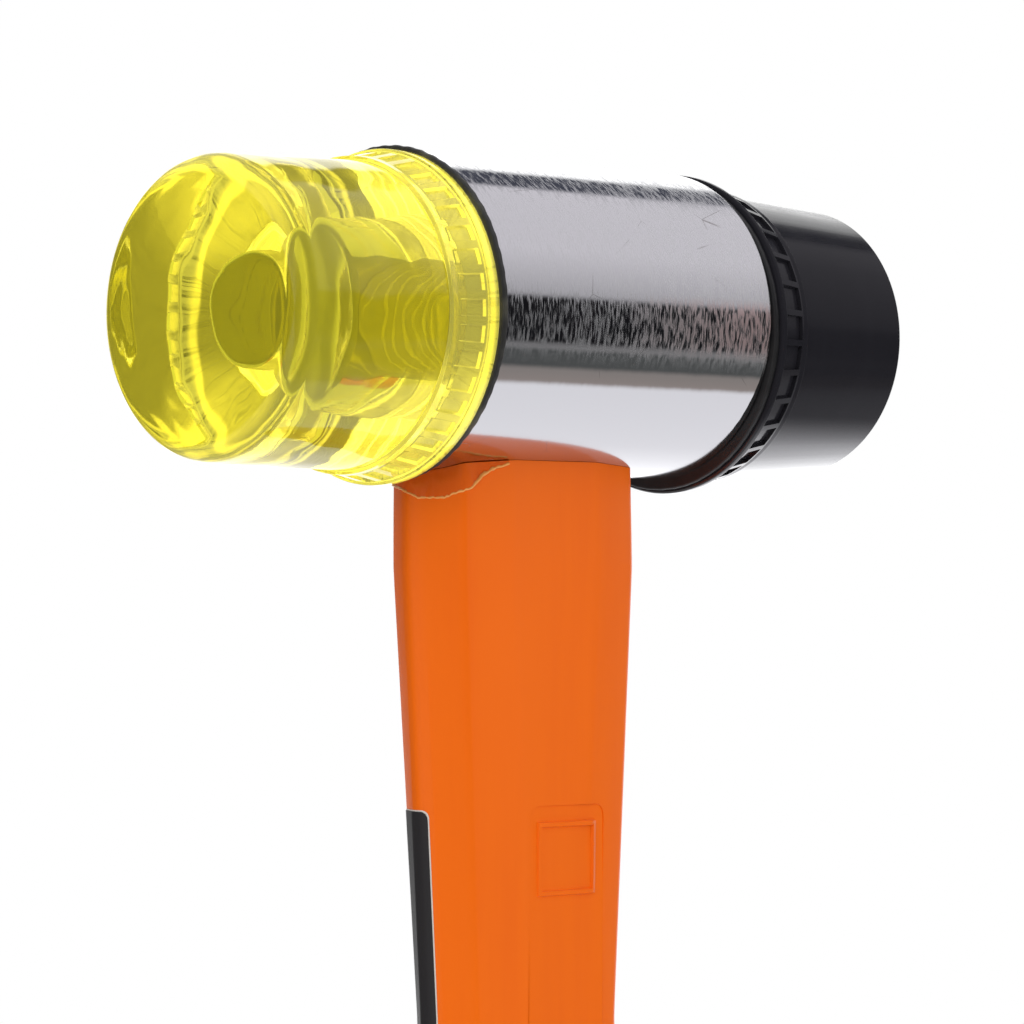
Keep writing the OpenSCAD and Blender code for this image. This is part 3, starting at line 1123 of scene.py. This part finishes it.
@dataclass
class Jacket:
    """The orange handle jacket: facets, soft creases and a saddle against the head."""

    neck: Span = (33.0 * MM, 13.8 * MM)
    bulge: Span = (33.8 * MM, 14.0 * MM)
    waist: Span = (28.6 * MM, 12.0 * MM)
    shank: Span = (27.0 * MM, 11.6 * MM)
    tang: Span = (24.0 * MM, 10.0 * MM)
    tang_step: float = 0.01 * MM
    bulge_drop: float = 11.0 * MM
    waist_drop: float = 62.3 * MM
    flat_inset: float = 10.0 * MM
    shoulder_inset: float = 3.0 * MM
    shoulder_drop: float = 1.2 * MM
    nose_inset: float = 0.7 * MM
    nose_flat: float = 3.4 * MM
    bed_gap: float = 0.03 * MM
    crease_r: float = 1.6 * MM
    flat_r: float = 6.0 * MM
    nose_r: float = 2.4 * MM
    panel_x: Span = (-4.2 * MM, 8.4 * MM)
    panel_h: Span = (168.0 * MM, 226.7 * MM)
    panel_depth: float = 0.12 * MM
    panel_r: float = 1.6 * MM
    panel_steps: int = 11
    row: float = 2.0 * MM
    top_rows: Span = (1.2 * MM, 0.6 * MM)
    saddle_shares: tuple[float, ...] = (1.0, 0.75, 0.5, 0.25)

    def __post_init__(self) -> None:
        """Take the heights from the frame."""
        head_low, head_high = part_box("head_body")
        self.head_r = (head_high.y - head_low.y) / 2
        self.underside = HEAD_H - self.head_r
        self.grip_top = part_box("grip_sleeve")[1].z
        self.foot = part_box("handle_jacket")[0].z
        self.stations = [
            (self.grip_top, *self.shank),
            (self.underside - self.waist_drop, *self.waist),
            (self.underside - self.bulge_drop, *self.bulge),
        ]

    def size_at(self, height: float) -> Span:
        """Width and thickness of the jacket at a height.

        Args:
            height: Metres above the butt.

        Returns:
            The width and the thickness.
        """
        top_h, *top = self.stations[-1]
        if height >= top_h:
            u = ease((height - top_h) / (HEAD_H - top_h))
            return tuple(low + (high - low) * u for low, high in zip(top, self.neck))
        heights = [s[0] for s in self.stations]
        return tuple(float(np.interp(height, heights, [s[k] for s in self.stations])) for k in (1, 2))

    def section(self, width: float, thick: float) -> np.ndarray:
        """Rounded cross-section, counter-clockwise from the black side's nose.

        Args:
            width: Overall width.
            thick: Overall thickness.

        Returns:
            Points as (x, y).
        """
        w, t = width / 2, thick / 2
        quarter = [
            (w, 0, self.nose_r),
            (w - self.nose_inset, self.nose_flat / 2, self.nose_r),
            (w - self.shoulder_inset, t - self.shoulder_drop, self.crease_r),
            (w - self.flat_inset, t, self.flat_r),
        ]
        upper = quarter + [(-x, y, r) for x, y, r in reversed(quarter[1:])]
        return rounded(upper + [(-x, -y, r) for x, y, r in upper], closed=True, steps=4)

    def saddle(self, y: np.ndarray) -> np.ndarray:
        """Height of the head's underside above points at y, less the bedding gap."""
        return HEAD_H - np.sqrt((self.head_r + self.bed_gap) ** 2 - y**2)

    def outside(self, x: float, height: float, lift: float) -> np.ndarray:
        """Point on the jacket's front side.

        Args:
            x: Place along the head.
            height: Metres above the butt.
            lift: Metres off the surface.

        Returns:
            The frame point.
        """
        width, thick = self.size_at(height)
        xs = [width / 2 - self.flat_inset, width / 2 - self.shoulder_inset]
        ys = [thick / 2, thick / 2 - self.shoulder_drop]
        return np.array([x, -float(np.interp(abs(x), xs, ys)) - lift, height])

    def strip(self, height: float, start: float, end: float, count: int, lift: float) -> np.ndarray:
        """Evenly spaced points along the outline of the yellow end's narrow side.

        Args:
            height: Metres above the butt.
            start: Arc length from the nose where the strip starts, negative at the front.
            end: Arc length from the nose where it ends.
            count: How many points.
            lift: Metres off the surface.

        Returns:
            The frame points.
        """
        loop = self.section(*self.size_at(height))
        side = loop[loop[:, 0] < 0][::-1]
        along = np.concatenate([[0], np.cumsum(np.linalg.norm(np.diff(side, axis=0), axis=1))])
        along -= np.interp(0.0, side[:, 1], along)
        spots = np.linspace(start, end, count)
        flat = np.column_stack([np.interp(spots, along, side[:, k]) for k in (0, 1)])
        slope = np.gradient(flat, axis=0)
        out = np.column_stack([-slope[:, 1], slope[:, 0]]) / np.linalg.norm(slope, axis=1)[:, None]
        return level(flat + out * lift, height)

    def panel(self) -> Shape:
        """Cutting shape of the shallow round-cornered panel on the front.

        Returns:
            The closed shape.
        """
        (left, right), (low, high), r = self.panel_x, self.panel_h, self.panel_r
        corners = [(left, low, r), (right, low, r), (right, high, r), (left, high, r)]
        loop = spread(rounded(corners, closed=True, steps=6), self.panel_steps)
        lifts = -self.panel_depth, CUT_OVER
        return Shape.from_rings([np.array([self.outside(x, h, lift) for x, h in loop]) for lift in lifts])

    def build(self) -> bpy.types.Object:
        """Model the jacket, sink its panel, bore it for the core and dress it.

        Returns:
            The jacket's object.
        """
        tang = self.section(*self.tang)
        rings = [level(tang, h) for h in (self.foot, self.grip_top - self.tang_step)]
        last, top_row = (self.underside - drop for drop in self.top_rows)
        rings += [level(self.section(*self.size_at(h)), h)
                  for h in (*np.arange(self.grip_top, last, self.row), top_row)]
        top = self.section(*self.size_at(self.underside))
        for share in self.saddle_shares:
            flat = top * share
            rings.append(np.column_stack([flat, self.saddle(flat[:, 1])]))
        rings.append(np.array([[0, 0, float(self.saddle(np.zeros(1))[0])]]))
        shape = Shape.from_rings(rings)
        made = shape.piece("handle_jacket_moulding", ORANGE, Body.HAMMER, "orange_plastic", Edge.SOFT)
        carve(made, self.panel(), Edge.SOFT)
        low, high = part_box("handle_core")
        carve(made, Shape.round_bar(high.x - low.x, high.y - low.y, low.z, high.z), Edge.SOFT)
        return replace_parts(made, "handle_jacket")


@dataclass
class RaisedFrame:
    """Plain square frame that is moulded on the jacket's panel."""

    jacket: Jacket
    left: float = -3.0 * MM
    right: float = 6.8 * MM
    low: float = 216.3 * MM
    high: float = 224.9 * MM
    bar: float = 0.75 * MM
    rise: float = 0.30 * MM
    bevel: float = 0.16 * MM
    root: float = 0.05 * MM
    steps: int = 15

    def loop(self, inset: float, lift: float) -> np.ndarray:
        """Square loop on the jacket.

        Args:
            inset: Metres that it is drawn in.
            lift: Metres off the jacket.

        Returns:
            The frame points.
        """
        left, right = self.left + inset, self.right - inset
        low, high = self.low + inset, self.high - inset
        corners = np.array([(left, low), (right, low), (right, high), (left, high)])
        return np.array([self.jacket.outside(x, h, lift) for x, h in spread(corners, self.steps)])

    def build(self) -> bpy.types.Object:
        """Model the frame on its panel.

        Returns:
            The frame's object.
        """
        floor, top = -self.jacket.panel_depth - self.root, self.rise - self.jacket.panel_depth
        profile = [(0, floor), (self.bevel, top), (self.bar - self.bevel, top), (self.bar, floor), (0, floor)]
        rings = [self.loop(inset, lift) for inset, lift in profile]
        shape = Shape.from_rings(rings, capped=False)
        return shape.piece("handle_raised_frame", ORANGE, Body.HAMMER, "orange_plastic", Edge.SOFT)


@dataclass
class Sticker:
    """Bare black sticker on a pale backing, folded round the handle's narrow side."""

    jacket: Jacket
    top: float = 226.5 * MM
    foot: float = 166.0 * MM
    front: float = -1.2 * MM
    back: float = 6.4 * MM
    corner_r: float = 0.9 * MM
    corner_rows: int = 7
    edge_w: float = 0.16 * MM
    backing_t: float = 0.06 * MM
    vinyl_t: float = 0.12 * MM
    columns: int = 24
    row: float = 1.5 * MM

    def layer(self, margin: float, lift: float) -> Shape:
        """One layer of the sticker.

        Args:
            margin: Metres that the outline is drawn in.
            lift: Height of the layer's outer side off the jacket.

        Returns:
            The closed layer.
        """
        low, high, r = self.foot + margin, self.top - margin, self.corner_r
        arc = r * (1 - np.cos(np.linspace(0, QUARTER, self.corner_rows)))
        straight = np.arange(low + r + self.row, high - r, self.row)
        outer, inner = [], []
        for h in np.concatenate([low + arc, straight, high - arc[::-1]]):
            off = max(0.0, r - min(h - low, high - h))
            draw = margin + r - math.sqrt(max(0.0, r**2 - off**2))
            start, end = self.front + draw, self.back - draw
            outer.append(self.jacket.strip(h, start, end, self.columns, lift))
            inner.append(self.jacket.strip(h, start, end, self.columns, -BURY))
        return Shape.from_patch(outer, inner)

    def build(self) -> None:
        """Model both layers."""
        self.layer(0.0, self.backing_t).piece(
            "sticker_backing", PAPER, Body.HAMMER, "orange_plastic", Edge.SOFT)
        self.layer(self.edge_w, self.vinyl_t).piece(
            "sticker_vinyl", VINYL, Body.HAMMER, "black_plastic", Edge.SOFT)


@dataclass
class Flash:
    """Torn film of moulding flash where the jacket meets the head, with a lip that curls at one place. The
    film's dark red is its own colour darkened by painted shade from the yellow face above.

    The lower edge is drawn as seen from the front corner: places along x - y, with heights from the axis.
    """

    jacket: Jacket
    back: float = 6.4 * MM
    front: float = -12.6 * MM
    thick: float = 0.14 * MM
    thick_share: Span = (-0.3, 0.5)
    lower_edge: tuple[Span, ...] = (
        (-19.9 * MM, -18.3 * MM), (-15.2 * MM, -20.2 * MM), (-11.0 * MM, -20.2 * MM),
        (-6.9 * MM, -19.2 * MM), (-5.2 * MM, -17.8 * MM), (-3.0 * MM, -16.8 * MM), (-0.7 * MM, -16.4 * MM))
    ragged: float = 0.08 * MM
    least: float = 0.15 * MM
    lip_r: float = 0.15 * MM
    lip_share: Span = (0.75, 1.2)
    lip_out: float = 0.6
    curl: float = 0.9
    curl_at: float = -5.0 * MM
    curl_w: float = 1.6 * MM
    lip_sides: int = 8
    columns: int = 72
    rows: int = 6
    seed: int = 5

    def hung(self) -> list[tuple[np.ndarray, np.ndarray, float, float]]:
        """Where the film hangs.

        Returns:
            Each column's point on the jacket, the way out of it, its top and its foot.
        """
        draw = np.random.default_rng(self.seed)
        line, lifted = (
            self.jacket.strip(self.jacket.underside, self.front, self.back, self.columns, lift)
            for lift in (0.0, 1.0))
        across, drop = zip(*self.lower_edge)
        made = []
        for point, out in zip(line, lifted - line):
            top = float(self.jacket.saddle(np.array([point[1]]))[0])
            foot = AXIS_H + float(np.interp(point[0] - point[1], across, drop))
            foot += draw.uniform(-self.ragged, self.ragged)
            made.append((point, out, top, min(foot, top - self.least)))
        return made

    def build(self) -> None:
        """Model the film and its pale lip."""
        draw = np.random.default_rng(self.seed + 1)
        turn = around(self.lip_sides)
        outer, inner, lip = [], [], []
        for point, out, top, foot in self.hung():
            base = np.tile(point, (self.rows, 1))
            base[:, 2] = np.linspace(top, foot, self.rows)
            lift = self.thick * (1 + draw.uniform(*self.thick_share, self.rows))
            outer.append(base + np.outer(lift, out))
            inner.append(base - BURY * out)
            curled = math.exp(-((point[0] - point[1] - self.curl_at) / self.curl_w) ** 2)
            radius = self.lip_r * draw.uniform(*self.lip_share) * (1 + self.curl * curled)
            centre = base[-1] + out * radius * self.lip_out
            lip.append(centre + radius * (np.outer(np.cos(turn), out) + np.outer(np.sin(turn), (0, 0, 1))))
        Shape.from_patch(outer, inner).piece(
            "flash_film", SHADED_FLASH, Body.HAMMER, "orange_plastic", Edge.SOFT)
        Shape.from_rings(lip).piece("flash_lip", TORN_LIP, Body.HAMMER, "orange_plastic", Edge.SOFT)


@dataclass
class Grip:
    """The black rubber grip with its grooves, hanging hole and room for the jacket's tang.

    A station is a height with the grip's width and thickness there.
    """

    jacket: Jacket
    stations: tuple[Triple, ...] = (
        (2.5 * MM, 35.0 * MM, 24.0 * MM),
        (22.0 * MM, 31.0 * MM, 21.0 * MM),
        (58.0 * MM, 34.0 * MM, 23.0 * MM),
        (96.0 * MM, 30.0 * MM, 19.0 * MM),
        (118.0 * MM, 29.4 * MM, 15.0 * MM),
    )
    fullness: float = 0.8
    palm_h: float = 58.0 * MM
    groove_count: int = 9
    groove_pitch: float = 6.5 * MM
    groove_depth: float = 0.9 * MM
    groove_r: float = 2.0 * MM
    lip_r: float = 0.6 * MM
    lip_rows: int = 5
    foot_rows: int = 7
    row: float = 0.5 * MM
    sides: int = 144
    hole_sides: int = 64
    hole_half: float = 20.0 * MM

    def size_at(self, height: float) -> Span:
        """Width and thickness of the grip at a height.

        Args:
            height: Metres above the butt.

        Returns:
            The width and the thickness.
        """
        for low, high in zip(self.stations[:-1], self.stations[1:]):
            if height <= high[0]:
                break
        u = ease((height - low[0]) / (high[0] - low[0]))
        return low[1] + (high[1] - low[1]) * u, low[2] + (high[2] - low[2]) * u

    def ring(self, height: float, inset: float = 0.0) -> np.ndarray:
        """Oval section with the grooves pressed into its wide sides.

        Args:
            height: Metres above the butt.
            inset: Metres that the oval is drawn in.

        Returns:
            The frame points.
        """
        angles = around(self.sides)
        x, y = (
            (size / 2 - inset) * np.sign(way) * np.abs(way) ** self.fullness
            for size, way in zip(self.size_at(height), (np.cos(angles), np.sin(angles))))
        for i in range(self.groove_count):
            middle = self.palm_h + (i - (self.groove_count - 1) / 2) * self.groove_pitch
            off = abs(height - middle)
            if off < self.groove_r:
                floor = self.size_at(middle)[1] / 2 + self.groove_r - self.groove_depth
                floor -= math.sqrt(self.groove_r**2 - off**2)
                y = np.clip(y, -floor, floor)
        return level(np.column_stack([x, y]), height)

    def hole(self) -> Shape:
        """Round bar that the hanging hole is bored with.

        Returns:
            The closed bar, across the handle.
        """
        place = mount("hanging_hole")
        radius, height = place["dims"]["r_mm"] * MM, place["pos_m"][2]
        angles = around(self.hole_sides)
        x, z = radius * np.cos(angles), height + radius * np.sin(angles)
        ends = -self.hole_half, self.hole_half
        return Shape.from_rings([np.column_stack([x, np.full(self.hole_sides, y), z]) for y in ends])

    def build(self) -> bpy.types.Object:
        """Model the grip, hollow it, bore the hanging hole and dress it.

        Returns:
            The grip's object.
        """
        foot, top = self.stations[0][0], self.stations[-1][0]
        rings = []
        for a in np.linspace(0, QUARTER, self.foot_rows)[:-1]:
            rings.append(self.ring(foot * (1 - math.cos(a)), foot * (1 - math.sin(a))))
        rings += [self.ring(h) for h in np.arange(foot, top - self.lip_r, self.row)]
        for a in np.linspace(0, QUARTER, self.lip_rows):
            rings.append(self.ring(top - self.lip_r * (1 - math.sin(a)), self.lip_r * (1 - math.cos(a))))
        made = Shape.from_rings(rings).piece("grip_moulding", GRIP, Body.HAMMER, "grip_rubber", Edge.SOFT)
        room = self.jacket.section(*self.jacket.tang)
        carve(made, Shape.upright(room, self.jacket.foot, top + CUT_OVER), Edge.SOFT)
        carve(made, self.hole(), Edge.SOFT)
        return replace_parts(made, "grip_sleeve")


def dress_inner_nodes() -> None:
    """Give the inner frame nodes, which stay as they are, their finishes."""
    for name, finish in (("handle_core", FIBRE), ("epoxy_bond", EPOXY)):
        node = frame["nodes"][name]
        node.data.materials.clear()
        node.data.materials.append(finish.material())


# Studio


@dataclass(frozen=True)
class Lamp:
    """A soft panel light that neither mirrors nor clear pieces show."""

    name: str
    place: Triple
    aim: Triple
    size: float
    watts: float

    def hang(self) -> None:
        """Hang the lamp so that it faces its aim."""
        data = bpy.data.lights.new(self.name, "AREA")
        data.size, data.energy = self.size, self.watts
        made = linked(self.name, data)
        made.location = self.place
        made.rotation_euler = (Vector(self.aim) - Vector(self.place)).to_track_quat("-Z", "Y").to_euler()
        made.visible_glossy = made.visible_transmission = False


@dataclass
class Studio:
    """Camera, floor, lamps and surrounding light.

    The bands are strips of light along the head: angles round its axis, in degrees up from the front,
    with the light that comes from there. The right ones light from beyond the black end, the left ones
    from everywhere else.
    """

    eye: Triple = (-367.71 * MM, -367.43 * MM, -34.84 * MM)
    heading_deg: float = 45.0
    look_up_deg: float = 1.46
    roll_deg: float = 0.41
    focal_px: float = 4500.0
    frame_px: int = 1024
    sensor_mm: float = 36.0
    floor_r: float = 0.7
    floor_drop: float = 0.2 * MM
    floor_sides: int = 96
    white: Colour = (1.0, 1.0, 1.0)
    backlight: Colour = (0.95, 0.95, 0.95)
    shade: Colour = (0.26, 0.26, 0.26)
    backlight_span: Span = (0.0, 0.9)
    right_span: Span = (0.30, 0.62)
    right_bands: tuple[tuple[float, Colour], ...] = (
        (-180, (1.9, 1.9, 1.9)), (-150, (1.6, 1.6, 1.65)), (-108, (1.22, 1.21, 1.27)),
        (-54, (1.14, 1.13, 1.19)), (-50.5, (0.42, 0.365, 0.345)), (-41.5, (0.36, 0.325, 0.31)),
        (-38.5, (0.115, 0.120, 0.120)), (-27.8, (0.115, 0.120, 0.120)), (-25.5, (0.28, 0.275, 0.28)),
        (-23.2, (0.26, 0.255, 0.26)), (-20.6, (0.012, 0.012, 0.014)), (9.6, (0.012, 0.012, 0.014)),
        (13.2, (0.60, 0.585, 0.62)), (46, (0.92, 0.89, 0.95)), (101, (0.92, 0.89, 0.95)),
        (105, (0.080, 0.085, 0.115)), (120.6, (0.080, 0.085, 0.115)), (126, (1.9, 1.9, 1.9)),
        (180, (1.9, 1.9, 1.9)))
    left_bands: tuple[tuple[float, Colour], ...] = (
        (-180, (0.05, 0.05, 0.05)), (-160, (0.05, 0.05, 0.05)), (-148, (0.70, 0.70, 0.72)),
        (-60, (0.80, 0.80, 0.82)), (-42, (0.22, 0.21, 0.20)), (0, (0.10, 0.10, 0.10)),
        (38, (0.24, 0.24, 0.25)), (60, (0.62, 0.61, 0.64)), (146, (0.80, 0.80, 0.82)),
        (160, (0.05, 0.05, 0.05)), (180, (0.05, 0.05, 0.05)))
    lamps: tuple[Lamp, ...] = (
        Lamp("key", (-1.0, -0.8, 0.8), (0, 0, AXIS_H), 0.9, 9.0),
        Lamp("fill", (0.7, -1.1, 0.2), (0, 0, AXIS_H), 0.9, 5.0),
        Lamp("side", (-1.1, 0.6, 0.1), (0, 0, 0.2), 0.8, 1.6))

    def camera(self) -> None:
        """Place the camera at the photograph's viewpoint."""
        data = bpy.data.cameras.new("view")
        data.sensor_width = self.sensor_mm
        data.lens = self.focal_px / self.frame_px * self.sensor_mm
        made = linked("view", data)
        turn = Matrix.Rotation(-math.radians(self.heading_deg), 4, "Z")
        tilt = Matrix.Rotation(math.radians(90 + self.look_up_deg), 4, "X")
        roll = Matrix.Rotation(-math.radians(self.roll_deg), 4, "Z")
        made.matrix_world = Matrix.Translation(Vector(self.eye) + Vector((0, 0, AXIS_H))) @ turn @ tilt @ roll
        bpy.context.scene.camera = made

    def floor(self) -> None:
        """Lay a pale round floor under the butt, which mirrors don't show."""
        angles = around(self.floor_sides)
        ring = level(self.floor_r * np.column_stack([np.cos(angles), np.sin(angles)]), -self.floor_drop)
        mesh = bpy.data.meshes.new("floor")
        mesh.from_pydata([tuple(p) for p in ring], [], [tuple(range(self.floor_sides))])
        made = linked("floor", mesh)
        made.data.materials.append(FLOOR_WHITE.material())
        made.visible_glossy = False

    def surround(self) -> None:
        """Light the scene: strips along the head for mirrors, a bright sweep behind for clear pieces."""
        world = bpy.data.worlds.new("studio")
        world.use_nodes = True
        bpy.context.scene.world = world
        sheet = Sheet(world.node_tree)
        across, back, rise = sheet.split(sheet.add("ShaderNodeTexCoord", output="Generated"))
        turn = sheet.add("ShaderNodeMath", {"operation": "ARCTAN2"}, {0: rise, 1: 0.0 - back})
        left, right = (
            sheet.add(
                "ShaderNodeValToRGB", {"stops": [(angle / 360 + 0.5, colour) for angle, colour in bands]},
                {0: turn * (1 / TURN) + 0.5}, "Color")
            for bands in (self.left_bands, self.right_bands))
        strips = sheet.mix(across.ramp(*self.right_span), left, right)
        through = sheet.mix((across + back).ramp(*self.backlight_span), self.shade, self.backlight)
        clear, seen = (
            sheet.add("ShaderNodeLightPath", output=f"Is {kind} Ray") for kind in ("Transmission", "Camera"))
        light = sheet.mix(clear, strips, through)
        glow = sheet.add("ShaderNodeBackground", None, {"Color": sheet.mix(seen, light, self.white)})
        sheet.add("ShaderNodeOutputWorld", None, {"Surface": glow})

    def build(self) -> None:
        """Set up the whole studio."""
        bpy.context.scene.view_settings.view_transform = "Standard"
        self.camera()
        self.floor()
        self.surround()
        for lamp in self.lamps:
            lamp.hang()


def main() -> None:
    """Build every sub-assembly and the studio."""
    logging.basicConfig(level=logging.INFO, format="%(name)s: %(message)s")
    Studio().build()
    Head().build()
    StrikingFace(
        End.YELLOW, "yellow_face", "yellow_seat_ring", Body.YELLOW_STRIKER, YELLOW, "clear_yellow_plastic",
        front_wall=13.6 * MM, front_r=16.8 * MM, root_r=17.3 * MM, edge_r=2.5 * MM, rim_t=1.5 * MM,
        band_l=3.9 * MM, band_r=18.6 * MM, pockets=40, pocket_w=1.8 * MM).build()
    StrikingFace(
        End.BLACK, "black_face", "black_seat_ring", Body.BLACK_STRIKER, BLACK, "black_plastic",
        front_wall=12.0 * MM, front_r=16.1 * MM, root_r=17.2 * MM, edge_r=0.5 * MM, rim_t=0.9 * MM,
        band_l=4.4 * MM, band_r=18.7 * MM, pockets=32, pocket_w=2.8 * MM, rim_wear=0.22 * MM).build()
    SeatRing(
        End.YELLOW, "yellow_seat_ring", Body.YELLOW_RING, 11, WORN_RING,
        wear=0.22 * MM, foot_wear=0.75 * MM).build()
    SeatRing(End.BLACK, "black_seat_ring", Body.BLACK_RING, 23, BLACK_RING).build()
    jacket = Jacket()
    jacket.build()
    RaisedFrame(jacket).build()
    Sticker(jacket).build()
    Flash(jacket).build()
    Grip(jacket).build()
    dress_inner_nodes()


if __name__ == "__main__":
    main()
